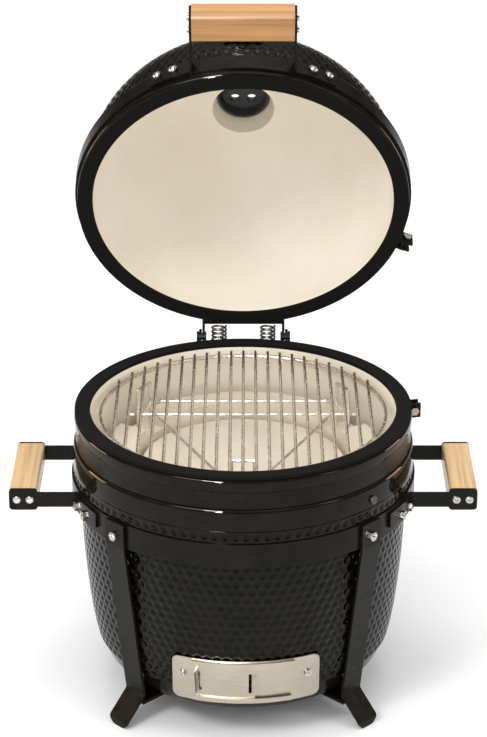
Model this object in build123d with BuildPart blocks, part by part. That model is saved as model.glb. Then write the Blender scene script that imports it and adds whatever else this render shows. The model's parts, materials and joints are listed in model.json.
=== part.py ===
"""Kamado ceramic grill with a hinged lid, side handles, four steel legs and its inner cooking parts.

Millimetres. The floor is z = 0, the body's axis is Z, the front faces -Y and the lid is stored open.
Heights inside each half are measured from the plane where lid and base meet.
"""

from build123d import *
import math
import os

# ---------------------------------------------------------------- driving dimensions
RIM_HEIGHT = 327.0  # floor to the base's sealing plane
SEAL_GAP = 0.4  # between the two felt seals when shut
RIM_RADIUS = 185.5  # ceramic lip of both halves
MOUTH_RADIUS = 168.0  # inside of both halves at the lip
SEAL_THICKNESS = 4.0

HINGE_Y = 201.1
HINGE_DROP = 4.6  # hinge axis below the sealing plane
LID_OPEN = 67.7  # degrees, the stored pose
LID_BODY_RADIUS = 177.0
LID_BODY_START = 50.0
LID_HEIGHT = 197.0
LID_CURVE = 1.8  # exponent of the dome's superellipse

STAND_BAND_TOP = -75.6
STAND_BAND_BOTTOM = -103.8
STAND_BAND_RADIUS = 190.0
LEG_AZIMUTHS = {"front_left": -45, "front_right": 45, "rear_left": -135, "rear_right": 135}
LEG_WIDTH = 28.0
LEG_THICKNESS = 3.5
LEG_BOLT_Z = -92.0
TOE_ROUNDING = 10.0
TOE_RADIUS = 192.5

GRIP_WIDTH = 30.7
SIDE_GRIP_HEIGHT = 24.5
SIDE_GRIP_X = 224.5  # inner face of a side grip
SIDE_PLATE_Y = 57.5
SIDE_BOLTS = (69.5, 62.5)  # azimuths from the front
SIDE_BOLT_Z = -91.5
LID_BOLTS = (23.0, 28.7)
LID_BOLT_Z = 22.3

STUD_RADIUS = 2.5
SCREW_RADIUS = 2.0
HOLE_CLEARANCE = 0.15

GRATE_RADIUS = 157.0
GRATE_PITCH = 14.0
WIRE = 4.6
ROD = 3.8

DRAFT_TOP = -224.0
DRAFT_BOTTOM = -281.0
DRAFT_TOP_RADIUS = 173.5
DRAFT_BOTTOM_RADIUS = 164.5

# ---------------------------------------------------------------- frames
BASE = Plane.XY.offset(RIM_HEIGHT)
HINGE_Z = RIM_HEIGHT - HINGE_DROP
open_turn = Location((0, HINGE_Y, HINGE_Z)) * Rotation(-LID_OPEN, 0, 0)
LID = Plane(open_turn * Location((0, -HINGE_Y, HINGE_DROP + SEAL_GAP)))


def bearing(frame, azimuth):
    """The frame turned so that its x axis points outward at an azimuth counted from the front."""
    return Plane(frame.location * Rotation(0, 0, azimuth - 90))


def section(frame, azimuth=90):
    """Half-plane through a frame's axis: local x is the radius, local y the height."""
    turned_frame = bearing(frame, azimuth)
    return Plane(turned_frame.origin, turned_frame.x_dir, -turned_frame.y_dir)


def face_plane(frame, azimuth, radius, height, tilt=0):
    """Plane facing outward at a radius and height, tilted up from the horizontal."""
    side = bearing(frame, azimuth)
    origin = side.from_local_coords((radius, 0, height))
    normal = side.x_dir * math.cos(math.radians(tilt)) + side.z_dir * math.sin(math.radians(tilt))
    return Plane(origin, side.y_dir, normal)


def spot(frame, x, y, z, azimuth=90):
    """Location of a point given in a frame, its axes turned to an azimuth."""
    return bearing(frame, azimuth).location * Pos(x, y, z)


# ---------------------------------------------------------------- shared shapes
def turn(frame, corners, start=90, sweep_angle=360, mode=Mode.ADD):
    """Add a solid of revolution from (radius, height) corners."""
    with BuildSketch(section(frame, start)) as profile:
        with BuildLine():
            Polyline(*corners, close=True)
        make_face()
    revolve(profile.sketch, axis=Axis(frame.origin, frame.z_dir), revolution_arc=sweep_angle, mode=mode)


def ring(frame, inner, outer, low, high, start=90, sweep_angle=360, mode=Mode.ADD):
    """Add a flat-sided ring or a part of one."""
    turn(frame, [(inner, low), (outer, low), (outer, high), (inner, high)], start, sweep_angle, mode)


def block(location, size_x, size_y, size_z, mode=Mode.ADD):
    """Add a box centred at a location."""
    with Locations(location):
        Box(size_x, size_y, size_z, mode=mode)


def peg(plane, radius, length, mode=Mode.ADD):
    """Add a cylinder from a plane along its normal; a negative length goes the other way."""
    with BuildSketch(plane) as outline:
        Circle(radius)
    extrude(outline.sketch, amount=length, mode=mode)


def wire_rod(start, end, diameter, mode=Mode.ADD):
    """Add a straight round wire between two points."""
    start = Vector(*start)
    end = Vector(*end)
    peg(Plane(start, z_dir=end - start), diameter / 2, (end - start).length, mode)


def acorn_nut(plane, shank):
    """Add a stud with its hexagon and domed nut, seated on a plane."""
    with BuildSketch(plane.offset(0.1)) as hexagon:
        RegularPolygon(5.4, 6)
    extrude(hexagon.sketch, amount=3.6)
    with Locations(plane.offset(3.6).location):
        Sphere(4.3, arc_size1=0)
    peg(plane.offset(0.5), STUD_RADIUS, -shank - 0.5)


def pan_screw(plane, shank, lift=0.1, head=4.2):
    """Add a round-headed screw seated on a plane, with a cross slot."""
    peg(plane.offset(lift), head, 1.0)
    with Locations(plane.offset(lift + 1.0).location):
        Cylinder(head - 0.7, 1.2, align=(Align.CENTER, Align.CENTER, Align.MIN))
    with Locations(plane.offset(lift + 2.2).location):
        Box(4.4, 1.0, 1.6, mode=Mode.SUBTRACT)
        Box(1.0, 4.4, 1.6, mode=Mode.SUBTRACT)
    peg(plane.offset(lift + 0.5), SCREW_RADIUS, -shank - 0.5 - lift)


def coil(centre, radius, height, turns, wire):
    """Add a compression spring standing at a centre point."""
    with BuildLine() as path:
        Helix(height / turns, height, radius, center=centre)
    with BuildSketch(Plane(path.line @ 0, z_dir=path.line % 0)) as wire_section:
        Circle(wire / 2)
    sweep(wire_section.sketch, path=path.wires()[0], is_frenet=True)


def finish(piece, name, color):
    piece.part.label = name
    piece.part.color = Color(*color)
    os.makedirs("parts", exist_ok=True)
    export_step(piece.part, f"parts/{name}.step")


CERAMIC = (0.03, 0.03, 0.03)
STEEL = (0.08, 0.07, 0.07)
BRIGHT = (0.85, 0.85, 0.87)
BAMBOO = (0.80, 0.58, 0.34)
CREAM = (0.82, 0.77, 0.68)
FELT = (0.02, 0.02, 0.02)

# every fastener sits on one of these planes
leg_bolt_planes = [face_plane(BASE, a, 193.5, LEG_BOLT_Z) for a in LEG_AZIMUTHS.values()]
side_bolt_azimuths = [side * a for side in (-1, 1) for near in SIDE_BOLTS for a in (near, 180 - near)]
side_bolt_planes = [face_plane(BASE, a, 193.2, SIDE_BOLT_Z) for a in side_bolt_azimuths]
lid_bolt_azimuths = [side * a for side in (-1, 1) for a in LID_BOLTS]
lid_bolt_planes = [face_plane(LID, a, 190.7, LID_BOLT_Z) for a in lid_bolt_azimuths]
draft_screw_azimuths = (-22.5, 24.0)


# ---------------------------------------------------------------- base ceramic
def draft_radius(height, out=0.0):
    """Radius of the draft door's cone at a height, plus a distance outward."""
    share = (DRAFT_TOP - height) / (DRAFT_TOP - DRAFT_BOTTOM)
    return DRAFT_TOP_RADIUS + (DRAFT_BOTTOM_RADIUS - DRAFT_TOP_RADIUS) * share + out


def draft_strip(start, end, top, bottom, inner, outer, mode=Mode.ADD):
    """Add a strip of the draft door's cone between two azimuths."""
    corners = [
        (draft_radius(top, inner), top),
        (draft_radius(top, outer), top),
        (draft_radius(bottom, outer), bottom),
        (draft_radius(bottom, inner), bottom),
    ]
    turn(BASE, corners, start, end - start, mode)


with BuildPart() as base_shell:
    with BuildSketch(section(BASE)) as base_profile:
        with BuildLine():
            Polyline(
                (0, -280),
                (0, -301),
                (142, -301),
                (150, -295),
                (156.5, -286),
                (162.5, -271),
                (165.8, -267),
            )
            Spline((165.8, -267), (170, -243), (175.6, -197), (179, -152), (180.5, -104))
            Polyline(
                (180.5, -104),
                (187.2, -104),
                (187.2, STAND_BAND_TOP),
                (188, STAND_BAND_TOP),
                (188, -62.5),
                (187.4, -62),
                (188.4, -61.5),
                (187, -39.5),
                (184.5, -37.2),
                (182.2, -36.9),
                (182.2, -17.3),
                (RIM_RADIUS, -17.3),
                (RIM_RADIUS, -6),
                (183.5, -SEAL_THICKNESS),
                (MOUTH_RADIUS, -SEAL_THICKNESS),
            )
            Spline((MOUTH_RADIUS, -SEAL_THICKNESS), (163, -110), (157, -200), (146, -250), (112, -280))
            Line((112, -280), (0, -280))
        make_face()
    revolve(axis=Axis(BASE.origin, BASE.z_dir))
    # draft opening through the lower front wall
    block(spot(BASE, 160, -22, -253, 0), 90, 50, 38, Mode.SUBTRACT)
    # seat for the band plug
    peg(face_plane(BASE, 47, 184.4, -53.4), 3.7, 6, Mode.SUBTRACT)
    for azimuth in draft_screw_azimuths:
        peg(face_plane(BASE, azimuth, 160, -247), SCREW_RADIUS + HOLE_CLEARANCE, 15, Mode.SUBTRACT)
finish(base_shell, "base_shell", CERAMIC)

with BuildPart() as base_gasket:
    turn(BASE, [(168, -3.9), (183.4, -3.9), (185, -3.2), (185, -0.8), (184.2, 0), (168.8, 0), (168, -0.8)])
finish(base_gasket, "base_gasket", FELT)


def clamp_ears(frame, azimuth, inner, low, high):
    """Two folded ears of a clamping band, with the bolt's holes, and the gap between them."""
    middle = (low + high) / 2
    for side in (-1, 1):
        block(spot(frame, inner + 9.5, side * 5, middle, azimuth), 19, 2.5, high - low)
    block(spot(frame, inner, 0, middle, azimuth), 12, 7.4, high - low + 2, Mode.SUBTRACT)
    with Locations(spot(frame, inner + 11.5, 0, middle, azimuth) * Rot(90, 0, 0)):
        Cylinder(STUD_RADIUS + HOLE_CLEARANCE, 20, mode=Mode.SUBTRACT)


def clamp_bolt(frame, azimuth, inner, middle):
    """The bolt through a clamping band's ears."""
    head = Plane(spot(frame, inner + 11.5, 6.35, middle, azimuth) * Rot(-90, 0, 0))
    tail = Plane(spot(frame, inner + 11.5, -6.35, middle, azimuth) * Rot(90, 0, 0))
    acorn_nut(head, 12.0)
    with BuildSketch(tail) as hexagon:
        RegularPolygon(5.0, 6)
    extrude(hexagon.sketch, amount=3.4)


# ---------------------------------------------------------------- base metal
with BuildPart() as base_band:
    ring(BASE, 182.4, 184.7, -36.7, -17.5)
    clamp_ears(BASE, 104, 184.0, -35.5, -18.7)
finish(base_band, "base_band", STEEL)

with BuildPart() as base_clamp_bolt:
    clamp_bolt(BASE, 104, 184.0, -27.1)
finish(base_clamp_bolt, "base_clamp_bolt", BRIGHT)

with BuildPart() as band_plug:
    peg(face_plane(BASE, 47, 184.6, -53.4), 3.5, 4.6)
    with Locations(face_plane(BASE, 47, 189.2, -53.4).location):
        Cylinder(4.6, 1.4, align=(Align.CENTER, Align.CENTER, Align.MIN))
finish(band_plug, "band_plug", FELT)

with BuildPart() as stand_band:
    ring(BASE, 187.5, STAND_BAND_RADIUS, STAND_BAND_BOTTOM, STAND_BAND_TOP)
    for plane in leg_bolt_planes + side_bolt_planes:
        peg(plane.offset(2), STUD_RADIUS + HOLE_CLEARANCE, -12, Mode.SUBTRACT)
finish(stand_band, "stand_band", STEEL)


def build_leg(azimuth):
    """A bent flat bar from the stand band to the floor, with its foot turned outward."""
    profile_plane = section(BASE, azimuth)
    with BuildPart() as leg:
        with BuildSketch(profile_plane) as bar:
            with BuildLine():
                FilletPolyline(
                    (191.9, STAND_BAND_TOP - 0.4),
                    (191.9, -104),
                    (166.9, -294),
                    (187.0, -313),
                    (TOE_RADIUS, -318),
                    (TOE_RADIUS, -RIM_HEIGHT),
                    radius=5,
                )
            trace(line_width=LEG_THICKNESS - 0.3)
        extrude(bar.sketch, amount=LEG_WIDTH / 2, both=True)
        peg(face_plane(BASE, azimuth, 195, LEG_BOLT_Z), STUD_RADIUS + HOLE_CLEARANCE, -8, Mode.SUBTRACT)
        toe_corners = leg.edges().group_by(Axis.Z)[0].sort_by(SortBy.LENGTH)[:2]
        fillet(toe_corners, TOE_ROUNDING)
    return leg


for corner, azimuth in LEG_AZIMUTHS.items():
    finish(build_leg(azimuth), f"leg_{corner}", STEEL)

with BuildPart() as leg_bolts:
    for plane in leg_bolt_planes:
        acorn_nut(plane, 5.9)
finish(leg_bolts, "leg_bolts", BRIGHT)

with BuildPart() as cross_bars:
    for azimuth in (45, -45):
        block(spot(BASE, 0, 0, -303, azimuth), 2 * 169.0, LEG_WIDTH, LEG_THICKNESS)
finish(cross_bars, "cross_bars", STEEL)


# ---------------------------------------------------------------- side handles
def build_side_bracket(side, end):
    """One bent bar of a side handle: flange on the stand band, arm and end plate."""
    far = 90 + end * 18.1  # azimuth where the arm leaves the band
    flange_start = min(far, 90 + end * 35) * side
    flange_end = max(far, 90 + end * 35) * side
    middle_x = SIDE_GRIP_X + GRIP_WIDTH / 2
    with BuildPart() as bracket:
        ring(BASE, 190.1, 193.2, -96, -79, min(flange_start, flange_end), 16.9)
        block(
            Location((side * (180.2 + 38), end * (SIDE_PLATE_Y + 1.6), RIM_HEIGHT - 87.5)),
            74,
            3.0,
            17,
        )
        with BuildSketch(Plane.XZ.offset(-end * (SIDE_PLATE_Y + 0.1))) as plate:
            with Locations((side * middle_x, RIM_HEIGHT - 87.1)):
                RectangleRounded(GRIP_WIDTH + 0.4, SIDE_GRIP_HEIGHT + 0.4, 4)
        extrude(plate.sketch, amount=-end * 3.0)
        for near in SIDE_BOLTS:
            bolt_azimuth = side * (near if end < 0 else 180 - near)
            bolt_plane = face_plane(BASE, bolt_azimuth, 196, SIDE_BOLT_Z)
            peg(bolt_plane, STUD_RADIUS + HOLE_CLEARANCE, -8, Mode.SUBTRACT)
        for offset in (-7, 7):
            hole = Plane((side * (middle_x + offset), end * 50, RIM_HEIGHT - 87.1), z_dir=(0, end, 0))
            peg(hole, SCREW_RADIUS + HOLE_CLEARANCE, 20, Mode.SUBTRACT)
    return bracket


def build_side_grip(side):
    """A bamboo bar with eased edges and screw holes in both ends."""
    middle_x = SIDE_GRIP_X + GRIP_WIDTH / 2
    with BuildPart() as grip:
        with BuildSketch(Plane.XZ.offset(-SIDE_PLATE_Y + 0.1)) as end_face:
            with Locations((side * middle_x, RIM_HEIGHT - 87.1)):
                RectangleRounded(GRIP_WIDTH, SIDE_GRIP_HEIGHT, 3)
        extrude(end_face.sketch, amount=2 * SIDE_PLATE_Y - 0.2)
        for end in (-1, 1):
            for offset in (-7, 7):
                hole = Plane((side * (middle_x + offset), end * 36, RIM_HEIGHT - 87.1), z_dir=(0, end, 0))
                peg(hole, SCREW_RADIUS + HOLE_CLEARANCE, 30, Mode.SUBTRACT)
    return grip


for side, side_name in ((-1, "left"), (1, "right")):
    finish(build_side_grip(side), f"grip_{side_name}", BAMBOO)
    for end, end_name in ((-1, "front"), (1, "rear")):
        finish(build_side_bracket(side, end), f"handle_{side_name}_{end_name}", STEEL)

with BuildPart() as handle_bolts:
    for plane in side_bolt_planes:
        acorn_nut(plane, 5.6)
finish(handle_bolts, "handle_bolts", BRIGHT)

with BuildPart() as grip_screws:
    for side in (-1, 1):
        for end in (-1, 1):
            for offset in (-7, 7):
                screw_x = side * (SIDE_GRIP_X + GRIP_WIDTH / 2 + offset)
                seat = (screw_x, end * (SIDE_PLATE_Y + 3.1), RIM_HEIGHT - 87.1)
                pan_screw(Plane(seat, z_dir=(0, end, 0)), 22)
finish(grip_screws, "grip_screws", BRIGHT)

# ---------------------------------------------------------------- hinge
PIN_RADIUS = 4.0
PIN_FIT = 0.05
LOWER_EAR_X = 50.3
UPPER_EAR_X = 46.6
EAR = 3.0
SPRING_X = 28.5
SPRING_Y = 205.0
SPRING_SEAT = -58.0
SPRING_TOP = 9.2

with BuildPart() as hinge_lower_bracket:
    ring(BASE, 184.8, 187.3, -36.7, -17.5, 163.5, 33)
    for side in (-1, 1):
        with BuildSketch(Plane.YZ.offset(side * LOWER_EAR_X - EAR / 2)) as ear:
            with BuildLine():
                Polyline(
                    (179.2, HINGE_Z - 31),
                    (196, HINGE_Z - 31),
                    (HINGE_Y + 9, HINGE_Z),
                    (HINGE_Y - 9, HINGE_Z),
                    (180.4, HINGE_Z - 13.5),
                    close=True,
                )
            make_face()
            with Locations((HINGE_Y, HINGE_Z)):
                Circle(9)
        extrude(ear.sketch, amount=EAR)
    # shelf under the springs, hung from the band
    ring(BASE, 185.0, 187.3, SPRING_SEAT - 2.5, -17.5, 171, 18, Mode.ADD)
    block(Location((0, 201.2, RIM_HEIGHT + SPRING_SEAT - 1.5)), 84, 27, 2.5)
    ring(BASE, 150, 189.4, -75, -37.5, 150, 60, Mode.SUBTRACT)
    ring(BASE, 189.6, 192.0, SPRING_SEAT - 2.7, -17.5, 171, 18)
    ring(BASE, 184.8, 192.0, -36.7, -33.5, 171, 18)
    peg(Plane((-60, HINGE_Y, HINGE_Z), z_dir=(1, 0, 0)), PIN_RADIUS + PIN_FIT, 120, Mode.SUBTRACT)
finish(hinge_lower_bracket, "hinge_lower_bracket", STEEL)

with BuildPart() as hinge_pins:
    for side in (-1, 1):
        inner_end = (side * 43.6, HINGE_Y, HINGE_Z)
        peg(Plane(inner_end, z_dir=(side, 0, 0)), PIN_RADIUS, 9.5)
        peg(Plane((side * 52.1, HINGE_Y, HINGE_Z), z_dir=(side, 0, 0)), 6.5, 2.5)
        peg(Plane((side * 44.8, HINGE_Y, HINGE_Z), z_dir=(-side, 0, 0)), 6.0, 1.5)
finish(hinge_pins, "hinge_pins", STEEL)

for side, side_name in ((-1, "left"), (1, "right")):
    with BuildPart() as spring:
        foot = (side * SPRING_X, SPRING_Y, RIM_HEIGHT + SPRING_SEAT + 1.7)
        coil(foot, 8.1, SPRING_TOP - SPRING_SEAT - 3.4, 13, 2.6)
    finish(spring, f"spring_{side_name}", BRIGHT)

with BuildPart() as hinge_upper_bracket:
    ring(LID, 188.1, 190.6, 12.6, 31.9, 163.5, 33)
    lid_side = Plane(LID.origin, LID.y_dir, LID.x_dir)
    for side in (-1, 1):
        with BuildSketch(lid_side.offset(side * UPPER_EAR_X - EAR / 2)) as ear:
            with BuildLine():
                Polyline(
                    (182.6, 31.9),
                    (192, 31.9),
                    (HINGE_Y + 8, -HINGE_DROP - SEAL_GAP),
                    (HINGE_Y - 8, -HINGE_DROP - SEAL_GAP),
                    (188.5, 6),
                    (182.6, 12.6),
                    close=True,
                )
            make_face()
            with Locations((HINGE_Y, -HINGE_DROP - SEAL_GAP)):
                Circle(8)
        extrude(ear.sketch, amount=EAR)
    block(Location((0, 210, RIM_HEIGHT + SPRING_TOP + 1.8)), 2 * UPPER_EAR_X, 11, 2.5)
    peg(Plane((-60, HINGE_Y, HINGE_Z), z_dir=(1, 0, 0)), PIN_RADIUS + PIN_FIT, 120, Mode.SUBTRACT)
finish(hinge_upper_bracket, "hinge_upper_bracket", STEEL)

# ---------------------------------------------------------------- draft door
WINDOW = (-16.5, 3.2)
TAB_AZIMUTHS = (-17.3, 3.7)

with BuildPart() as draft_plate:
    draft_strip(-34, 36, DRAFT_TOP, DRAFT_BOTTOM, 0.3, 1.5)
    with BuildSketch(Plane.XZ) as outline:
        with Locations((3, RIM_HEIGHT - 252.5)):
            RectangleRounded(159, 56.4, 8)
    extrude(outline.sketch, amount=250, mode=Mode.INTERSECT)
    draft_strip(WINDOW[0], WINDOW[1], -233, -273, -5, 5, Mode.SUBTRACT)
    for top, bottom in ((-225.5, -227.5), (-277, -279)):
        draft_strip(-18.3, 18.3, top, bottom, 1.2, 4.6)
    for top, bottom in ((-225.5, -232), (-273, -279)):
        draft_strip(-18.3, 18.3, top, bottom, 3.6, 4.8)
    for azimuth in draft_screw_azimuths:
        peg(face_plane(BASE, azimuth, 160, -247), SCREW_RADIUS + HOLE_CLEARANCE, 25, Mode.SUBTRACT)
finish(draft_plate, "draft_plate", BRIGHT)

with BuildPart() as draft_slider:
    draft_strip(-17.4, 4.2, -229.2, -274.4, 1.9, 3.2)
    for azimuth in TAB_AZIMUTHS:
        draft_strip(azimuth, azimuth + 0.5, -239, -267, 1.9, 11)
    for azimuth in (TAB_AZIMUTHS[0] + 1.1, TAB_AZIMUTHS[1] - 1.7):
        draft_strip(azimuth, azimuth + 1.1, -240, -266, 1, 5, Mode.SUBTRACT)
finish(draft_slider, "draft_slider", BRIGHT)

with BuildPart() as spark_screen:
    block(spot(BASE, 158, -22, -253, 0), 1.6, 49.4, 37.4)
    block(spot(BASE, 158, -22, -253, 0), 4, 44, 32, Mode.SUBTRACT)
    for index in range(10):
        block(spot(BASE, 158, -22 - 20 + index * 40 / 9, -253, 0), 1.0, 1.0, 33)
    for index in range(7):
        block(spot(BASE, 158, -22, -253 - 13.5 + index * 4.5, 0), 1.0, 45, 1.0)
finish(spark_screen, "spark_screen", BRIGHT)

with BuildPart() as draft_screws:
    for azimuth in draft_screw_azimuths:
        pan_screw(face_plane(BASE, azimuth, draft_radius(-247, 2.2), -247), 9)
finish(draft_screws, "draft_screws", BRIGHT)

# ---------------------------------------------------------------- firebox and its contents
RING_TOP = -53.0
RING_OUTER = 152.0
RING_INNER = 119.0
DEFLECTOR_RADIUS = 113.0
DEFLECTOR_TOP = -70.0
FOOT_AZIMUTHS = (0, 122, -122)

with BuildPart() as firebox:
    box_profile = [(0, -279.7), (108, -279.7), (134, -244), (143, -190), (147, -100.3), (130, -100.3)]
    box_profile += [(127, -190), (119, -238), (98, -262), (0, -262)]
    turn(BASE, box_profile)
    block(spot(BASE, 130, -22, -250, 0), 90, 56, 30, Mode.SUBTRACT)
    for index in range(8):
        peg(face_plane(BASE, 22.5 + 45 * index, 100, -215), 8, 60, Mode.SUBTRACT)
finish(firebox, "firebox", CREAM)

with BuildPart() as charcoal_grate:
    turn(BASE, [(0, -236), (112, -236), (112, -229), (0, -229)])
    for index in range(-6, 7):
        half = math.sqrt(100**2 - (index * 15) ** 2)
        if half > 20:
            block(spot(BASE, 0, index * 15, -232, 90), 2 * half, 7, 20, Mode.SUBTRACT)
    block(spot(BASE, 0, 0, -232.5, 0), 196, 9, 7)
finish(charcoal_grate, "charcoal_grate", STEEL)

with BuildPart() as fire_ring:
    ring_profile = [(RING_INNER, RING_TOP), (RING_OUTER, RING_TOP), (146.5, -99.9), (104, -99.9)]
    ring_profile += [(104, DEFLECTOR_TOP - 10.4), (RING_INNER, DEFLECTOR_TOP - 10.4)]
    turn(BASE, ring_profile)
    for azimuth in FOOT_AZIMUTHS:
        block(spot(BASE, 135, 0, RING_TOP - 4, azimuth), 50, 38, 16, Mode.SUBTRACT)
finish(fire_ring, "fire_ring", CREAM)

with BuildPart() as deflector:
    ring(BASE, 0, DEFLECTOR_RADIUS, DEFLECTOR_TOP - 10, DEFLECTOR_TOP)
    fillet(deflector.edges().filter_by(GeomType.CIRCLE).sort_by(Axis.Z)[-1], 2)
finish(deflector, "deflector", CREAM)

RACK_WIRE = 3.6
RACK_Z = -37.0
RACK_CROSS_Z = RACK_Z - 0.8 * RACK_WIRE  # cross wires are welded under the long ones
LOOP_TOP = -10.6
LOOP_HALF = 12.2
LOOP_RADII = {0: 122.0, 122: 132.0, -122: 132.0}
RACK_SPAN = 254.0
WELD_RADIUS = RACK_WIRE / 2 + 0.06  # beads at the loops' corners stand a little proud of the wire


def rack_point(azimuth, radius, along, height):
    """Point at a radius on an azimuth, moved along the tangent."""
    return tuple(bearing(BASE, azimuth).from_local_coords((radius, along, height)))


def rack_wire(start, end, height):
    """Straight rack wire between two (x, y) points at a height."""
    wire_rod((*start, RIM_HEIGHT + height), (*end, RIM_HEIGHT + height), RACK_WIRE)


with BuildPart() as wire_rack:
    for side in (-1, 1):
        rack_wire((side * 19, -114), (side * 104, 62), RACK_Z)
    rack_wire((-26, -110), (26, -110), RACK_CROSS_Z)
    rack_wire((-RACK_SPAN / 2, 59), (RACK_SPAN / 2, 59), RACK_CROSS_Z)
    rack_wire((-101, 95), (101, 95), RACK_CROSS_Z)
    for azimuth, radius in LOOP_RADII.items():
        for along in (-LOOP_HALF, LOOP_HALF):
            foot = rack_point(azimuth, radius, along, RING_TOP - 11.6)
            top = rack_point(azimuth, radius, along, LOOP_TOP)
            wire_rod(foot, top, RACK_WIRE)
            with Locations(top):
                Sphere(WELD_RADIUS)
        left = rack_point(azimuth, radius, -LOOP_HALF, LOOP_TOP)
        right = rack_point(azimuth, radius, LOOP_HALF, LOOP_TOP)
        wire_rod(left, right, RACK_WIRE)
        reach_left = 31 if azimuth < 0 else 20
        reach_right = 31 if azimuth > 0 else 20
        low_left = rack_point(azimuth, radius - 2, -reach_left, RACK_Z)
        low_right = rack_point(azimuth, radius - 2, reach_right, RACK_Z)
        wire_rod(low_left, low_right, RACK_WIRE)
    for along in (-6, 6):
        outer_end = rack_point(0, 123, along, RACK_CROSS_Z)
        inner_end = rack_point(0, 107, along, RACK_CROSS_Z)
        wire_rod(outer_end, inner_end, RACK_WIRE - 0.4)
if wire_rack.part.bounding_box().size.X < RACK_SPAN - 1:
    raise ValueError("the wire rack has lost some of its wires")
finish(wire_rack, "wire_rack", BRIGHT)

with BuildPart() as cooking_grate:
    with BuildSketch(section(BASE)) as ring_section:
        with Locations((GRATE_RADIUS, -10.2)):
            Circle(WIRE / 2)
    revolve(ring_section.sketch, axis=Axis(BASE.origin, BASE.z_dir))
    for index in range(-10, 11):
        x = index * GRATE_PITCH
        half = math.sqrt((GRATE_RADIUS + 2.6) ** 2 - x**2)
        wire_rod((x, -half, RIM_HEIGHT - 6.4), (x, half, RIM_HEIGHT - 6.4), ROD)
finish(cooking_grate, "cooking_grate", BRIGHT)


# ---------------------------------------------------------------- lid ceramic
def dome_radius(height):
    """Outer radius of the lid's dome at a height."""
    share = (height - LID_BODY_START) / (LID_HEIGHT - LID_BODY_START)
    return LID_BODY_RADIUS * (1 - share**LID_CURVE) ** (1 / LID_CURVE)


VENT_RADIUS = 30.0
VENT_HEIGHT = 193.6
THERMO_HEIGHT = 95.0
THERMO_TILT = 27.0
dome_heights = (50, 75, 100, 125, 150, 170, 185, VENT_HEIGHT)
thermo_plane = face_plane(LID, 0, dome_radius(THERMO_HEIGHT), THERMO_HEIGHT, THERMO_TILT)

with BuildPart() as lid_shell:
    with BuildSketch(section(LID)) as lid_profile:
        with BuildLine():
            Polyline(
                (MOUTH_RADIUS, 4),
                (183.5, 4),
                (RIM_RADIUS, 6),
                (RIM_RADIUS, 12.4),
                (185.2, 12.4),
                (185.2, 32.1),
                (182.5, 33),
                (182.5, 35),
                (184, 36),
                (181, 44),
                (dome_radius(50), 50),
            )
            Spline(*[(dome_radius(height), height) for height in dome_heights])
            Line((dome_radius(VENT_HEIGHT), VENT_HEIGHT), (36, 168))
            Spline((36, 168), (64, 162), (104, 140), (139, 103), (160, 62), (167.5, 28), (MOUTH_RADIUS, 4))
        make_face()
    revolve(axis=Axis(LID.origin, LID.z_dir))
    ring(LID, 0, 30.2, 160, 200, mode=Mode.SUBTRACT)
    peg(thermo_plane.offset(5), 3.4, -40, Mode.SUBTRACT)
finish(lid_shell, "lid_shell", CERAMIC)

with BuildPart() as lid_gasket:
    turn(LID, [(168.4, 3.9), (183.4, 3.9), (185, 3.2), (185, 0.8), (184.2, 0), (169.2, 0), (168.4, 0.8)])
finish(lid_gasket, "lid_gasket", FELT)

with BuildPart() as lid_band:
    ring(LID, 185.4, 188.0, 12.6, 31.9)
    clamp_ears(LID, 112, 187.2, 13.8, 30.6)
    for plane in lid_bolt_planes:
        peg(plane.offset(2), STUD_RADIUS + HOLE_CLEARANCE, -12, Mode.SUBTRACT)
finish(lid_band, "lid_band", STEEL)

with BuildPart() as lid_clamp_bolt:
    clamp_bolt(LID, 112, 187.2, 22.2)
finish(lid_clamp_bolt, "lid_clamp_bolt", BRIGHT)

# ---------------------------------------------------------------- lid handle
LID_PLATE_X = 54.6
LID_GRIP_Y = 224.0
LID_GRIP_DEPTH = 33.0
LID_GRIP_LOW = 10.0
LID_GRIP_HEIGHT = 25.5


def build_lid_bracket(side):
    """One side plate of the lid handle with its flange on the lid band."""
    with BuildPart() as bracket:
        start = 17.1 if side > 0 else -31.8
        ring(LID, 188.1, 190.6, 13, 31.6, start, 14.7)
        block(spot(LID, 218.6, side * (LID_PLATE_X + 1.25), 22.3, 0), 76, 2.5, 18.6)
        for near in LID_BOLTS:
            bolt_plane = face_plane(LID, side * near, 194, LID_BOLT_Z)
            peg(bolt_plane, STUD_RADIUS + HOLE_CLEARANCE, -8, Mode.SUBTRACT)
        for offset in (-8, 8):
            hole = spot(LID, LID_GRIP_Y + LID_GRIP_DEPTH / 2 + offset, side * 50, 22.3, 0)
            peg(Plane(hole * Rot(-90 * side, 0, 0)), SCREW_RADIUS + HOLE_CLEARANCE, 20, Mode.SUBTRACT)
    return bracket


for side, side_name in ((-1, "left"), (1, "right")):
    finish(build_lid_bracket(side), f"lid_handle_{side_name}", STEEL)

with BuildPart() as lid_grip:
    end_spot = spot(LID, LID_GRIP_Y + LID_GRIP_DEPTH / 2, -LID_PLATE_X + 0.1, 22.75, 0)
    end_plane = Plane(end_spot * Rot(-90, 0, 0))
    with BuildSketch(end_plane) as end_face:
        RectangleRounded(LID_GRIP_DEPTH, LID_GRIP_HEIGHT, 3)
    extrude(end_face.sketch, amount=2 * LID_PLATE_X - 0.2)
    for side in (-1, 1):
        for offset in (-8, 8):
            hole = spot(LID, LID_GRIP_Y + LID_GRIP_DEPTH / 2 + offset, side * 34, 22.3, 0)
            peg(Plane(hole * Rot(-90 * side, 0, 0)), SCREW_RADIUS + HOLE_CLEARANCE, 30, Mode.SUBTRACT)
finish(lid_grip, "lid_grip", BAMBOO)

with BuildPart() as lid_handle_bolts:
    for plane in lid_bolt_planes:
        acorn_nut(plane, 5.2)
finish(lid_handle_bolts, "lid_handle_bolts", BRIGHT)

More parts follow.
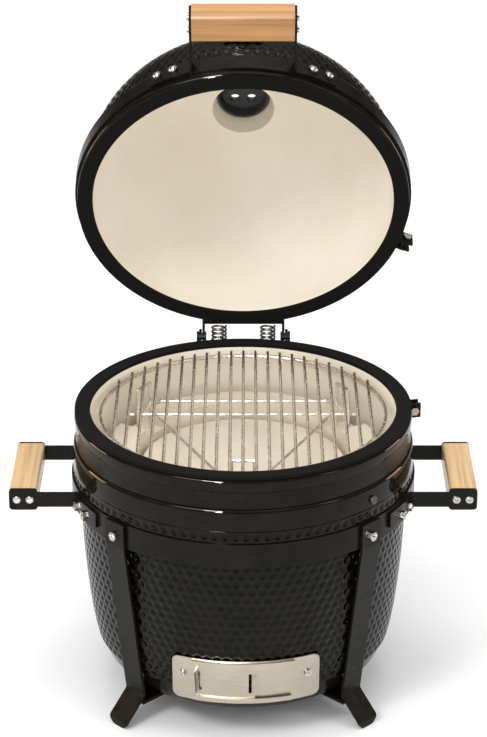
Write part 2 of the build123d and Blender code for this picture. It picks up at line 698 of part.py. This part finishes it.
with BuildPart() as lid_grip_screws:
    for side in (-1, 1):
        for offset in (-8, 8):
            seat = spot(LID, LID_GRIP_Y + LID_GRIP_DEPTH / 2 + offset, side * (LID_PLATE_X + 2.5), 22.3, 0)
            pan_screw(Plane(seat * Rot(-90 * side, 0, 0)), 20)
finish(lid_grip_screws, "lid_grip_screws", BRIGHT)

# ---------------------------------------------------------------- top vent
with BuildPart() as vent_collar:
    collar = [(27.5, 188), (29.8, 188), (29.8, 194.3), (42, 194.3), (42, 197), (30, 199), (30, 206)]
    collar += [(0, 206), (0, 203), (27.5, 203)]
    turn(LID, collar)
    for index in range(5):
        peg(Plane(spot(LID, 16.5, 0, 201, 72 * index)), 6.2, 10, Mode.SUBTRACT)
finish(vent_collar, "vent_collar", STEEL)

with BuildPart() as vent_cap:
    cap = [(0, 206.4), (34, 206.4), (34, 200), (36, 200), (36, 207), (33, 210), (24, 212.5), (7, 213)]
    cap += [(6, 222), (4, 224), (0, 224)]
    turn(LID, cap)
    for index in range(5):
        peg(Plane(spot(LID, 16.5, 0, 204, 72 * index)), 6.2, 12, Mode.SUBTRACT)
    for index in range(12):
        block(spot(LID, 36, 0, 203.5, 30 * index), 1.6, 3, 6)
finish(vent_cap, "vent_cap", STEEL)

# ---------------------------------------------------------------- thermometer
with BuildPart() as thermometer_case:
    peg(thermo_plane.offset(3.2), 26, 7)
    peg(thermo_plane.offset(5.4), 23.5, 8, Mode.SUBTRACT)
    peg(thermo_plane.offset(1.6), 10, 2)
    peg(thermo_plane.offset(-42), 3.0, 45)
finish(thermometer_case, "thermometer_case", BRIGHT)

with BuildPart() as thermometer_dial:
    peg(thermo_plane.offset(5.5), 23.3, 1.0)
finish(thermometer_dial, "thermometer_dial", CREAM)

with BuildPart() as thermometer_needle:
    peg(thermo_plane.offset(6.6), 2.2, 1.4)
    block(thermo_plane.offset(7.0).location * Rot(0, 0, 130) * Pos(6.5, 0, 0), 17, 1.4, 0.7)
finish(thermometer_needle, "thermometer_needle", STEEL)

with BuildPart() as thermometer_nut:
    nut_plane = face_plane(LID, 0, dome_radius(THERMO_HEIGHT), THERMO_HEIGHT, THERMO_TILT).offset(-30.5)
    with BuildSketch(nut_plane) as nut:
        RegularPolygon(6.5, 6)
        Circle(3.1, mode=Mode.SUBTRACT)
    extrude(nut.sketch, amount=5)
finish(thermometer_nut, "thermometer_nut", BRIGHT)
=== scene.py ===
"""Kamado ceramic grill: dimpled glaze, felt seals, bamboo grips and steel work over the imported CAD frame."""

import json
import math

import bpy
import numpy as np
from mathutils import Matrix, Vector


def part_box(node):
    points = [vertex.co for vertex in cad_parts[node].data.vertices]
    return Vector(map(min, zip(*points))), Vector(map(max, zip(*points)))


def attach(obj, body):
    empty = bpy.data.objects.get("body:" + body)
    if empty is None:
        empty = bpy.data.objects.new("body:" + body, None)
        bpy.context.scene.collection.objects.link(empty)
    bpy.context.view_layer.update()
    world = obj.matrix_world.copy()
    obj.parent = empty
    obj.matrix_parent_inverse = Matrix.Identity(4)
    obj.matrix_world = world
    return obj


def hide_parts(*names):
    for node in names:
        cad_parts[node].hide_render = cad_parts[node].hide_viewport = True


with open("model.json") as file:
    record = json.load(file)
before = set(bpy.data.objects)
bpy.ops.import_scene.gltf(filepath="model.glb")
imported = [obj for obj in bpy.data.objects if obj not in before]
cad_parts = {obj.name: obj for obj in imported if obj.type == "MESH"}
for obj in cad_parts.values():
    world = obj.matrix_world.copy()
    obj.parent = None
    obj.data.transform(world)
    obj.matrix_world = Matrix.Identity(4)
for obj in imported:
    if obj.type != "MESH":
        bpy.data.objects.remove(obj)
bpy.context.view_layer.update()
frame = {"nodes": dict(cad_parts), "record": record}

MM = 0.001
RIM_HEIGHT = 327.0  # millimetres, floor to the base's sealing plane
HINGE_Y = 201.1
HINGE_DROP = 4.6
LID_OPEN = 67.7
SEAL_GAP = 0.4
COLUMNS = 720  # half a degree each
DIMPLE_STEP = 1.7  # mesh step over the dimpled glaze
DIMPLE_PITCH = 11.0
DIMPLE_ROW = 9.7
DIMPLE_RADIUS = 4.5
DIMPLE_DEPTH = 1.35
WALL_RADIUS = 120.0  # the shell's wall lies outside this, its floor inside
SMOOTH_ANGLE = 50  # degrees, steeper edges stay sharp
DIAL_TILT = 27.0  # degrees, the thermometer's face above the horizontal

BASE_MATRIX = Matrix.Translation((0, 0, RIM_HEIGHT))
LID_MATRIX = (
    Matrix.Translation((0, HINGE_Y, RIM_HEIGHT - HINGE_DROP))
    @ Matrix.Rotation(math.radians(-LID_OPEN), 4, "X")
    @ Matrix.Translation((0, -HINGE_Y, HINGE_DROP + SEAL_GAP))
)


# ------------------------------------------------------------------ material tools
class Look:
    """A principled material with short calls for the nodes that feed it."""

    def __init__(self, name, color, roughness, metallic=0.0, **sockets):
        self.material = bpy.data.materials.new(name)
        self.material.use_nodes = True
        self.material.diffuse_color = (*color, 1)
        self.tree = self.material.node_tree
        self.shader = self.tree.nodes["Principled BSDF"]
        self.shader.inputs["Base Color"].default_value = (*color, 1)
        self.shader.inputs["Roughness"].default_value = roughness
        self.shader.inputs["Metallic"].default_value = metallic
        for socket, value in sockets.items():
            self.shader.inputs[socket.replace("_", " ")].default_value = value

    def node(self, kind, **inputs):
        made = self.tree.nodes.new(kind)
        for socket, value in inputs.items():
            self.feed(made.inputs[socket.replace("_", " ")], value)
        return made

    def feed(self, socket, value):
        if isinstance(value, bpy.types.NodeSocket):
            self.tree.links.new(value, socket)
        else:
            socket.default_value = value

    def coordinates(self, stretch=(1, 1, 1)):
        place = self.node("ShaderNodeTexCoord")
        mapping = self.node("ShaderNodeMapping", Vector=place.outputs["Object"], Scale=stretch)
        return mapping.outputs["Vector"]

    def noise(self, scale, detail=4.0, stretch=(1, 1, 1), roughness=0.5):
        where = self.coordinates(stretch)
        made = self.node("ShaderNodeTexNoise", Vector=where, Scale=scale, Detail=detail, Roughness=roughness)
        return made.outputs["Fac"]

    def ramp(self, source, stops):
        made = self.node("ShaderNodeValToRGB", Fac=source)
        elements = made.color_ramp.elements
        elements[0].position, elements[0].color = stops[0][0], (*stops[0][1], 1)
        elements[1].position, elements[1].color = stops[-1][0], (*stops[-1][1], 1)
        for position, color in stops[1:-1]:
            elements.new(position).color = (*color, 1)
        return made.outputs["Color"]

    def span(self, source, low, high, from_low=0.3, from_high=0.7):
        made = self.node("ShaderNodeMapRange", Value=source)
        made.inputs["From Min"].default_value = from_low
        made.inputs["From Max"].default_value = from_high
        made.inputs["To Min"].default_value = low
        made.inputs["To Max"].default_value = high
        return made.outputs["Result"]

    def blend(self, factor, first, second, mode="MIX"):
        made = self.tree.nodes.new("ShaderNodeMix")
        made.data_type = "RGBA"
        made.blend_type = mode
        self.feed(made.inputs[0], factor)
        self.feed(made.inputs[6], first)
        self.feed(made.inputs[7], second)
        return made.outputs[2]

    def color(self, source):
        self.feed(self.shader.inputs["Base Color"], source)

    def rough(self, source):
        self.feed(self.shader.inputs["Roughness"], source)

    def bump(self, source, strength, distance):
        before = self.shader.inputs["Normal"].links
        made = self.node("ShaderNodeBump", Height=source, Strength=strength, Distance=distance)
        if before:
            self.feed(made.inputs["Normal"], before[0].from_socket)
        self.feed(self.shader.inputs["Normal"], made.outputs["Normal"])


def black_glaze():
    """Warm black glaze, with the raised net between the dimples painted lighter and browner than the dimples: a
    painted reflection.
    """
    look = Look("black_glaze", (0.004, 0.0035, 0.003), 0.08, Specular_IOR_Level=0.12)
    hollow = look.node("ShaderNodeAttribute")
    hollow.attribute_name = "hollow"
    body = look.ramp(look.noise(26, 5), [(0.3, (0.0012, 0.0010, 0.0007)), (0.7, (0.0030, 0.0024, 0.0015))])
    # painted reflection: the raised net is painted lighter and browner than the dimple hollows
    net_painted_reflection = look.ramp(look.noise(60, 3), [(0.3, (0.0060, 0.0048, 0.0028)), (0.7, (0.0120, 0.0092, 0.0052))])
    raised = look.span(hollow.outputs["Fac"], 0.8, 0.0, 0.03, 0.35)
    look.color(look.blend(raised, body, net_painted_reflection))
    look.rough(look.span(look.noise(90, 4), 0.025, 0.06))
    look.bump(look.noise(150, 3), 0.12, 0.0005)
    look.bump(look.noise(900, 2), 0.015, 0.0002)
    return look.material


def cream_glaze():
    """Matt cream lining with a faint kiln mottle and iron specks."""
    look = Look("cream_glaze", (0.80, 0.74, 0.65), 0.62, Specular_IOR_Level=0.2)
    creams = [(0.3, (0.76, 0.69, 0.58)), (0.55, (0.81, 0.75, 0.65)), (0.75, (0.83, 0.78, 0.70))]
    mottle = look.ramp(look.noise(9, 5), creams)
    specks = look.span(look.noise(620, 2), 0.0, 1.0, 0.70, 0.78)
    look.color(look.blend(specks, mottle, (0.52, 0.44, 0.34, 1)))
    look.rough(look.span(look.noise(40, 3), 0.58, 0.72))
    look.bump(look.noise(70, 4), 0.12, 0.0006)
    return look.material


def felt():
    """Pressed black felt with short fibres standing out of it."""
    sheen = {"Sheen_Weight": 0.02, "Sheen_Roughness": 0.6}
    look = Look("felt", (0.014, 0.014, 0.014), 0.95, Specular_IOR_Level=0.03, **sheen)
    fibres = look.noise(1500, 4, (1, 1, 2.5))
    look.color(look.ramp(fibres, [(0.3, (0.0020, 0.0018, 0.0014)), (0.72, (0.0080, 0.0072, 0.0058))]))
    look.bump(fibres, 0.55, 0.0006)
    look.bump(look.noise(120, 3), 0.30, 0.0006)
    return look.material


def black_steel():
    """Semi-gloss powder coat over bent flat bar, with its fine orange peel and rubbed places."""
    look = Look("black_steel", (0.010, 0.008, 0.006), 0.30, Specular_IOR_Level=0.11)
    blacks = [(0.3, (0.005, 0.0042, 0.0026)), (0.62, (0.008, 0.0065, 0.004)), (0.8, (0.0125, 0.0092, 0.0055))]
    look.color(look.ramp(look.noise(35, 5), blacks))
    look.rough(look.span(look.noise(70, 5), 0.20, 0.38))
    look.bump(look.noise(850, 3), 0.16, 0.0003)
    return look.material


def bright_steel():
    """Nickel plate with fine turning marks."""
    look = Look("bright_steel", (0.46, 0.45, 0.43), 0.16, 1.0)
    look.color(look.ramp(look.noise(240, 3), [(0.3, (0.34, 0.33, 0.32)), (0.7, (0.56, 0.55, 0.53))]))
    look.rough(look.span(look.noise(700, 3), 0.10, 0.26))
    look.bump(look.noise(1600, 2), 0.06, 0.0001)
    return look.material


def spring_steel():
    """Oiled spring wire, dark with worn bright streaks."""
    look = Look("spring_steel", (0.22, 0.21, 0.20), 0.30, 1.0)
    look.color(look.ramp(look.noise(420, 4), [(0.35, (0.05, 0.045, 0.04)), (0.7, (0.24, 0.225, 0.21))]))
    look.rough(look.span(look.noise(600, 3), 0.20, 0.42))
    return look.material


def bamboo(name, along, tint=(1.0, 1.0, 1.0)):
    """Laminated bamboo: narrow strips, fibres running lengthwise and a dark node line here and there."""
    look = Look(name, (0.55, 0.34, 0.15), 0.38, Coat_Weight=0.35, Coat_Roughness=0.18)
    fine = [260.0, 260.0, 260.0]
    fine[along] = 7.0
    strip = [95.0, 95.0, 95.0]
    strip[along] = 1.2
    node_lines = [2.0, 2.0, 2.0]
    node_lines[along] = 24.0
    fibres = look.noise(1.0, 5, fine, 0.6)
    strips = look.noise(1.0, 1, strip)
    stops = [(0.35, (0.55, 0.33, 0.14)), (0.5, (0.64, 0.41, 0.19)), (0.65, (0.70, 0.48, 0.25))]
    # tint scales the strip tones; the lid grip's darker, more orange tint is painted shade
    tone = look.ramp(strips, [(at, tuple(c * t for c, t in zip(color, tint))) for at, color in stops])
    grain = look.ramp(fibres, [(0.32, (0.62, 0.56, 0.48)), (0.55, (1.0, 1.0, 1.0))])
    wood = look.blend(0.75, tone, grain, "MULTIPLY")
    lines = look.span(look.noise(1.0, 2, node_lines), 0.0, 0.45, 0.70, 0.74)
    look.color(look.blend(lines, wood, (0.25, 0.13, 0.05, 1)))
    look.rough(look.span(fibres, 0.30, 0.48))
    look.bump(fibres, 0.22, 0.0003)
    return look.material


def brushed_stainless():
    """Stainless sheet brushed along its length."""
    look = Look("brushed_stainless", (0.37, 0.335, 0.28), 0.26, 1.0)
    lines = look.noise(1.0, 4, (60, 60, 2600))
    brushed = look.ramp(lines, [(0.3, (0.36, 0.32, 0.26)), (0.7, (0.50, 0.455, 0.385))])
    cloudy = look.ramp(look.noise(18, 3), [(0.3, (0.37, 0.33, 0.27)), (0.7, (0.50, 0.455, 0.385))])
    look.color(look.blend(0.5, brushed, cloudy))
    look.rough(look.span(lines, 0.24, 0.42))
    look.bump(lines, 0.10, 0.0001)
    return look.material


def grate_wire():
    """Electropolished stainless wire, a little straw-coloured from heat."""
    look = Look("grate_wire", (0.66, 0.62, 0.56), 0.24, 1.0)
    look.color(look.ramp(look.noise(22, 4), [(0.3, (0.60, 0.55, 0.48)), (0.7, (0.84, 0.81, 0.76))]))
    look.rough(look.span(look.noise(500, 3), 0.17, 0.32))
    look.bump(look.noise(1300, 2), 0.06, 0.0001)
    return look.material


def fire_clay():
    """Fired refractory clay with its slightly open grain."""
    look = Look("fire_clay", (0.66, 0.58, 0.47), 0.68)
    clays = [(0.3, (0.70, 0.62, 0.51)), (0.55, (0.76, 0.69, 0.58)), (0.75, (0.80, 0.74, 0.64))]
    clay = look.ramp(look.noise(14, 6), clays)
    grit = look.span(look.noise(520, 3), 0.0, 0.8, 0.64, 0.74)
    look.color(look.blend(grit, clay, (0.50, 0.41, 0.31, 1)))
    look.rough(look.span(look.noise(60, 4), 0.58, 0.78))
    look.bump(look.noise(300, 5), 0.28, 0.0006)
    return look.material


def cast_iron():
    """Seasoned cast iron with its sand-cast grain."""
    look = Look("cast_iron", (0.030, 0.029, 0.028), 0.62)
    look.color(look.ramp(look.noise(45, 5), [(0.3, (0.008, 0.008, 0.007)), (0.7, (0.024, 0.022, 0.020))]))
    look.rough(look.span(look.noise(90, 4), 0.48, 0.74))
    look.bump(look.noise(520, 5), 0.5, 0.0005)
    return look.material


def plain(name, color, roughness, metallic=0.0, scale=300.0):
    """Moulded or painted small part with a fine texture."""
    look = Look(name, color, roughness, metallic)
    light = tuple(min(1.0, c * 1.25 + 0.004) for c in color)
    look.color(look.ramp(look.noise(scale, 3), [(0.3, color), (0.7, light)]))
    look.rough(look.span(look.noise(scale, 3), roughness * 0.85, min(1.0, roughness * 1.2)))
    look.bump(look.noise(scale * 3, 3), 0.12, 0.0002)
    return look.material


GLAZE = black_glaze()
LINING = cream_glaze()
BRIGHT = bright_steel()
STEEL = black_steel()
IRON = cast_iron()
INK = plain("dial_ink", (0.02, 0.02, 0.02), 0.5)
SLOT_LOOKS = {
    "ceramic": GLAZE,
    "felt": felt(),
    "black_steel": STEEL,
    "bright_steel": BRIGHT,
    "spring_steel": spring_steel(),
    "bamboo": bamboo("bamboo_side", 1, (1.08, 1.12, 1.22)),
    "brushed_stainless": brushed_stainless(),
    "grate_wire": grate_wire(),
    "fire_clay": fire_clay(),
    "cast_iron": IRON,
    "plug_plastic": plain("plug_plastic", (0.03, 0.03, 0.03), 0.6),
    "dial_case": plain("dial_case", (0.62, 0.61, 0.60), 0.28, 1.0, 500),
    "dial_face": plain("dial_face", (0.80, 0.78, 0.72), 0.45),
    "needle_paint": INK,
}
# painted shade: the lid grip gets a darker, more orange copy of the same bamboo as the side grips
lid_bamboo_painted_shade = bamboo("bamboo_lid", 0, (0.68, 0.50, 0.30))


def dress(node, material):
    """Give a CAD node its finished material."""
    mesh = frame["nodes"][node].data
    mesh.materials.clear()
    mesh.materials.append(material)


for subpart in frame["record"]["subparts"]:
    dress(subpart["node"], SLOT_LOOKS[subpart["material_slot"]])
dress("lid_grip", lid_bamboo_painted_shade)


# ------------------------------------------------------------------ ceramic shells
def smooth_curve(points, step):
    """Points about a step apart on the Catmull-Rom curve through some (radius, height) points."""
    known = np.array(points, float)
    ends = np.vstack([2 * known[0] - known[1], known, 2 * known[-1] - known[-2]])
    curve = []
    for index in range(len(known) - 1):
        a, b, c, d = ends[index : index + 4]
        for t in np.linspace(0, 1, 40, endpoint=False):
            bend, twist = 2 * a - 5 * b + 4 * c - d, 3 * b - a - 3 * c + d
            curve.append(0.5 * (2 * b + (c - a) * t + bend * t**2 + twist * t**3))
    curve.append(known[-1])
    return even_steps(np.array(curve), step)


def even_steps(curve, step):
    """The same curve cut into even steps."""
    run = np.concatenate([[0], np.cumsum(np.linalg.norm(np.diff(curve, axis=0), axis=1))])
    count = max(2, int(round(run[-1] / step)))
    at = np.linspace(0, run[-1], count + 1)
    return np.stack([np.interp(at, run, curve[:, 0]), np.interp(at, run, curve[:, 1])], axis=1)


def eased(points, radius):
    """A polyline with its corners rounded, as a thick glaze does."""
    known = [np.array(p, float) for p in points]
    out = [known[0]]
    for before, corner, after in zip(known, known[1:], known[2:]):
        back, ahead = before - corner, after - corner
        cut = min(radius, 0.45 * np.linalg.norm(back), 0.45 * np.linalg.norm(ahead))
        start = corner + back / np.linalg.norm(back) * cut
        stop = corner + ahead / np.linalg.norm(ahead) * cut
        for t in (0.0, 0.25, 0.5, 0.75, 1.0):
            out.append((1 - t) ** 2 * start + 2 * t * (1 - t) * corner + t**2 * stop)
    out.append(known[-1])
    return np.array(out)


def dimple_field(run, radius, phase):
    """How deep each point of a band lies in its hexagonal lattice of dimples, 0 to 1."""
    angles = np.arange(COLUMNS) * 2 * math.pi / COLUMNS
    depth = np.zeros((len(run), COLUMNS))
    rows = max(1, int((run[-1] - DIMPLE_ROW * 0.6) / DIMPLE_ROW) + 1)
    first = (run[-1] - (rows - 1) * DIMPLE_ROW) / 2
    for row in range(rows):
        centre = first + row * DIMPLE_ROW
        around = float(np.interp(centre, run, radius))
        count = max(6, round(2 * math.pi * around / DIMPLE_PITCH))
        turn = 2 * math.pi / count
        offset = (angles + (row % 2) * turn / 2 + phase) % turn
        offset = np.minimum(offset, turn - offset)
        near = np.abs(run - centre) < DIMPLE_RADIUS
        distance = np.hypot((run[near] - centre)[:, None], offset[None, :] * radius[near][:, None])
        bowl = np.clip(1 - (distance / DIMPLE_RADIUS) ** 2, 0, 1) ** 1.25
        depth[near] = np.maximum(depth[near], bowl)
    return depth


def lathe(name, bands, matrix, window=None):
    """Turn a closed profile, given as bands of (points, dimpled, material index), into one mesh."""
    points, sunk, strips = [], [], []
    for band, dimpled, material in bands:
        run = np.concatenate([[0], np.cumsum(np.linalg.norm(np.diff(band, axis=0), axis=1))])
        field = dimple_field(run, band[:, 0], 0.1) if dimpled else np.zeros((len(band), COLUMNS))
        start = 1 if points else 0
        points.extend(band[start:])
        sunk.extend(field[start:])
        strips.extend([material] * (len(band) - 1))
    if np.linalg.norm(points[0] - points[-1]) < 1e-6:
        points, sunk = points[:-1], sunk[:-1]
    points, sunk = np.array(points), np.array(sunk)
    tangent = np.roll(points, -1, axis=0) - np.roll(points, 1, axis=0)
    length = np.linalg.norm(tangent, axis=1, keepdims=True)
    normal = np.stack([tangent[:, 1], -tangent[:, 0]], axis=1) / np.maximum(length, 1e-9)
    azimuth = np.arange(COLUMNS) * 2 * math.pi / COLUMNS
    radius = points[:, :1] - normal[:, :1] * sunk * DIMPLE_DEPTH
    height = points[:, 1:] - normal[:, 1:] * sunk * DIMPLE_DEPTH
    grid = np.stack([radius * np.sin(azimuth), -radius * np.cos(azimuth), height + 0 * radius], axis=2)
    vertices = grid.reshape(-1, 3)
    rows = len(points)
    index = np.arange(rows * COLUMNS).reshape(rows, COLUMNS)
    faces, materials = [], []
    for row, material in enumerate(strips):
        if window and in_window(points[row], points[(row + 1) % rows], window):
            left, right = window["columns"]
            gone = {c % COLUMNS for c in range(left, right)}
            wanted = [c for c in range(COLUMNS) if c not in gone]
        else:
            wanted = range(COLUMNS)
        here, above = index[row], index[(row + 1) % rows]
        for c in wanted:
            d = (c + 1) % COLUMNS
            faces.append((here[c], here[d], above[d], above[c]))
        materials.extend([material] * len(wanted))
    if window:
        reveal = window_reveal(points, index, window)
        faces.extend(reveal)
        materials.extend([window["material"]] * len(reveal))
    mesh = bpy.data.meshes.new(name)
    moved = np.array(matrix)
    placed = (np.c_[vertices, np.ones(len(vertices))] @ moved.T)[:, :3] * MM
    mesh.from_pydata(placed.tolist(), [], faces)
    for material in (GLAZE, LINING):
        mesh.materials.append(material)
    mesh.polygons.foreach_set("material_index", materials)
    hollow = mesh.attributes.new("hollow", "FLOAT", "POINT")
    hollow.data.foreach_set("value", sunk.reshape(-1).astype(np.float32))
    mesh.polygons.foreach_set("use_smooth", [True] * len(mesh.polygons))
    mesh.validate()
    mesh.update()
    mesh.set_sharp_from_angle(angle=math.radians(SMOOTH_ANGLE))
    obj = bpy.data.objects.new(name, mesh)
    bpy.context.scene.collection.objects.link(obj)
    return obj


def in_window(low, high, window):
    """Whether a strip of the wall lies in the window's height."""
    bottom, top = window["heights"]
    middle = (low[1] + high[1]) / 2
    return bottom < middle < top and min(low[0], high[0]) > WALL_RADIUS


def window_reveal(points, index, window):
    """Faces that join the outer and inner walls round a window."""
    bottom, top = window["heights"]
    wall = [(i, p[1]) for i, p in enumerate(points) if p[0] > WALL_RADIUS]
    outer_low, inner_low = [i for i, height in wall if abs(height - bottom) < 0.01]
    outer_high, inner_high = [i for i, height in wall if abs(height - top) < 0.01]
    left, right = window["columns"]
    faces = []
    for c in range(left, right):
        d = c + 1
        faces.append((index[outer_high][c], index[outer_high][d], index[inner_high][d], index[inner_high][c]))
        faces.append((index[outer_low][d], index[outer_low][c], index[inner_low][c], index[inner_low][d]))
    loop = list(range(outer_low, outer_high + 1)) + list(range(inner_high, inner_low + 1))
    faces.append(tuple(int(index[i][left]) for i in loop))
    faces.append(tuple(int(index[i][right]) for i in reversed(loop)))
    return faces


DRAFT_WINDOW = {"heights": (-272.0, -234.0), "columns": (-33, 2), "material": 1}


def base_bands():
    """The base's profile, from the middle of its underside round to the middle of its floor."""
    foot = eased([(0.5, -301), (142, -301), (150, -295), (156.5, -286), (162.5, -272), (165.0, -268.5)], 3)
    foot = np.vstack([foot[foot[:, 1] < -272.5], [(162.5, -272.0), (165.0, -268.5)]])
    low_corners = np.array([(165.0, -268.5), (168.0, -255), (170.0, -243.0), (171.5, -234.0)])
    low_wall = even_steps(low_corners, DIMPLE_STEP)
    high_wall = smooth_curve([(171.5, -234.0), (175.6, -197), (179, -152), (180.5, -104)], DIMPLE_STEP)
    dimpled_wall = np.vstack([low_wall[:-1], high_wall])
    ledge = eased([(180.5, -104), (187.2, -104), (187.2, -75.6), (187.9, -75.2)], 0.4)
    strip = even_steps(np.array([(187.9, -75.2), (188.0, -62.4)]), DIMPLE_STEP)
    lip = eased([(188.0, -62.4), (187.3, -62.0), (188.3, -60.6), (187.2, -40.2), (185.8, -38.0), (182.2, -37.0),
                 (182.2, -17.3), (185.5, -17.3), (185.5, -6), (183.5, -4), (168, -4)], 2.2)
    inside = smooth_curve([(168, -4), (163, -110), (157, -200), (151.5, -234)], 8)
    floor = np.array([(151.5, -234), (148, -246), (140, -260), (128, -272), (112, -280), (0.5, -280)])
    return [(foot, False, 0), (dimpled_wall, True, 0), (ledge, False, 0), (strip, True, 0), (lip, False, 0),
            (inside, False, 1), (floor, False, 1)]


def lid_bands():
    """The lid's profile in its shut position, from the mouth over the dome and back inside."""
    dome = [(177.0 * (1 - ((z - 50) / 147) ** 1.8) ** (1 / 1.8), z) for z in np.linspace(50, 193.6, 160)]
    lip = eased([(168, 4), (183.5, 4), (185.5, 6), (185.5, 12.4), (185.2, 12.4), (185.2, 32.1), (182.5, 33),
                 (182.5, 35), (184, 36), (182.6, 41.5), (177, 50)], 1.2)
    crown = even_steps(np.array(dome), DIMPLE_STEP)
    throat = eased([crown[-1], (31.5, 186), (36, 168)], 1)
    inside = smooth_curve([(36, 168), (64, 162), (104, 140), (139, 103), (160, 62), (167.5, 28), (168, 4)], 6)
    return [(lip, False, 0), (crown, True, 0), (throat, False, 1), (inside, False, 1)]


base_glaze = lathe("base_glaze", base_bands(), BASE_MATRIX, DRAFT_WINDOW)
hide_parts("base_shell")
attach(base_glaze, "base")

lid_glaze = lathe("lid_glaze", lid_bands(), LID_MATRIX)
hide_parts("lid_shell")
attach(lid_glaze, "lid")


# ------------------------------------------------------------------ thermometer marks
def dial_marks():
    """Tick marks round the thermometer's face."""
    low, high = (Vector(corner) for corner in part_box("thermometer_dial"))
    centre = (low + high) / 2
    tilt = math.radians(DIAL_TILT)
    lid_turn = LID_MATRIX.to_3x3()
    out = lid_turn @ Vector((0, -math.cos(tilt), math.sin(tilt)))
    across = Vector((1, 0, 0))
    up = out.cross(across)
    vertices, faces = [], []
    for step in range(25):
        angle = math.radians(225 - step * 270 / 24)
        spoke = across * math.cos(angle) - up * math.sin(angle)
        side = out.cross(spoke)
        inner = 0.0170 if step % 4 == 0 else 0.0190
        wide = 0.0005 if step % 4 == 0 else 0.0003
        start = len(vertices)
        for lift in (0.00052, 0.00072):
            for reach, half in ((inner, -wide), (0.0215, -wide), (0.0215, wide), (inner, wide)):
                vertices.append(centre + out * lift + spoke * reach + side * half)
        faces += [(start + 4, start + 5, start + 6, start + 7), (start + 3, start + 2, start + 1, start)]
        faces += [(start + a, start + (a + 1) % 4, start + 4 + (a + 1) % 4, start + 4 + a) for a in range(4)]
    mesh = bpy.data.meshes.new("dial_marks")
    mesh.from_pydata([tuple(v) for v in vertices], [], faces)
    mesh.materials.append(INK)
    obj = bpy.data.objects.new("dial_marks", mesh)
    bpy.context.scene.collection.objects.link(obj)
    return obj


marks = dial_marks()
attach(marks, "lid")


# ------------------------------------------------------------------ studio
def studio_floor():
    """A pale seamless floor."""
    half = 9.0
    mesh = bpy.data.meshes.new("studio_floor")
    corners = [(-half, -half, 0), (half, -half, 0), (half, half, 0), (-half, half, 0)]
    mesh.from_pydata(corners, [], [(0, 1, 2, 3)])
    look = Look("floor_white", (0.93, 0.93, 0.93), 0.6, Specular_IOR_Level=0.0)
    look.rough(look.span(look.noise(3, 2), 0.5, 0.7))
    mesh.materials.append(look.material)
    obj = bpy.data.objects.new("studio_floor", mesh)
    bpy.context.scene.collection.objects.link(obj)


def soft_light(name, location, target, size, power, color=(1, 1, 1), gloss_only=False):
    """A rectangular softbox aimed at a point; a gloss-only one shows just as a reflection."""
    data = bpy.data.lights.new(name, "AREA")
    data.shape = "RECTANGLE"
    data.size, data.size_y = size
    data.energy = power
    data.color = color
    obj = bpy.data.objects.new(name, data)
    obj.location = location
    obj.rotation_euler = (Vector(target) - Vector(location)).to_track_quat("-Z", "Y").to_euler()
    obj.visible_diffuse = not gloss_only
    bpy.context.scene.collection.objects.link(obj)


def studio_world():
    """Even white surroundings; in reflections a darker room with a bright ceiling."""
    world = bpy.data.worlds.new("studio_world")
    bpy.context.scene.world = world
    world.use_nodes = True
    tree = world.node_tree
    background = tree.nodes["Background"]
    path = tree.nodes.new("ShaderNodeLightPath")
    where = tree.nodes.new("ShaderNodeTexCoord")
    parts = tree.nodes.new("ShaderNodeSeparateXYZ")
    room = tree.nodes.new("ShaderNodeValToRGB")
    choice = tree.nodes.new("ShaderNodeMix")
    choice.data_type = "RGBA"
    elements = room.color_ramp.elements
    elements[0].position, elements[0].color = 0.0, (0.30, 0.29, 0.28, 1)
    elements[1].position, elements[1].color = 1.0, (1.0, 1.0, 1.0, 1)
    elements.new(0.12).color = (0.06, 0.055, 0.05, 1)
    elements.new(0.45).color = (0.16, 0.155, 0.15, 1)
    elements.new(0.70).color = (0.75, 0.75, 0.75, 1)
    choice.inputs[6].default_value = (0.95, 0.95, 0.95, 1)
    tree.links.new(where.outputs["Generated"], parts.inputs["Vector"])
    tree.links.new(parts.outputs["Z"], room.inputs["Fac"])
    tree.links.new(path.outputs["Is Glossy Ray"], choice.inputs[0])
    tree.links.new(room.outputs["Color"], choice.inputs[7])
    tree.links.new(choice.outputs[2], background.inputs["Color"])


def photo_camera():
    """The photograph's viewpoint: in front, looking down a little, through a long lens."""
    elevation = math.radians(23.7)
    distance = 2.766
    target = Vector((0.004, 0.0, (RIM_HEIGHT + 38.9) * MM))
    data = bpy.data.cameras.new("camera")
    data.lens = 123.7
    data.sensor_width = 36.0
    data.shift_x = -0.0045
    data.shift_y = 0.0040
    obj = bpy.data.objects.new("camera", data)
    obj.location = target + distance * Vector((0, -math.cos(elevation), math.sin(elevation)))
    obj.rotation_euler = (math.radians(90) - elevation, 0, 0)
    bpy.context.scene.collection.objects.link(obj)
    bpy.context.scene.camera = obj


studio_floor()
studio_world()
soft_light("key_left", (-1.5, -1.7, 2.6), (0, 0, 0.35), (0.9, 0.9), 36)
soft_light("fill_right", (1.9, -1.0, 1.7), (0, 0, 0.35), (0.35, 1.2), 7)
soft_light("top", (0, 0.2, 3.0), (0, 0, 0.3), (1.6, 1.2), 30)
soft_light("sparkle", (-0.62, -2.3, 1.15), (0, 0, 0.25), (0.12, 0.12), 130, gloss_only=True)
soft_light("strip", (-0.7, -1.7, 2.2), (0, 0, 0.35), (0.5, 0.10), 110, gloss_only=True)
soft_light("warm_left", (-1.9, 0.5, 0.5), (0, 0, 0.35), (0.6, 0.7), 24, (1.0, 0.62, 0.36), gloss_only=True)
soft_light("warm_right", (1.9, 0.7, 0.5), (0, 0, 0.35), (0.6, 0.7), 20, (1.0, 0.62, 0.36), gloss_only=True)
bpy.context.scene.view_settings.view_transform = "Standard"
photo_camera()
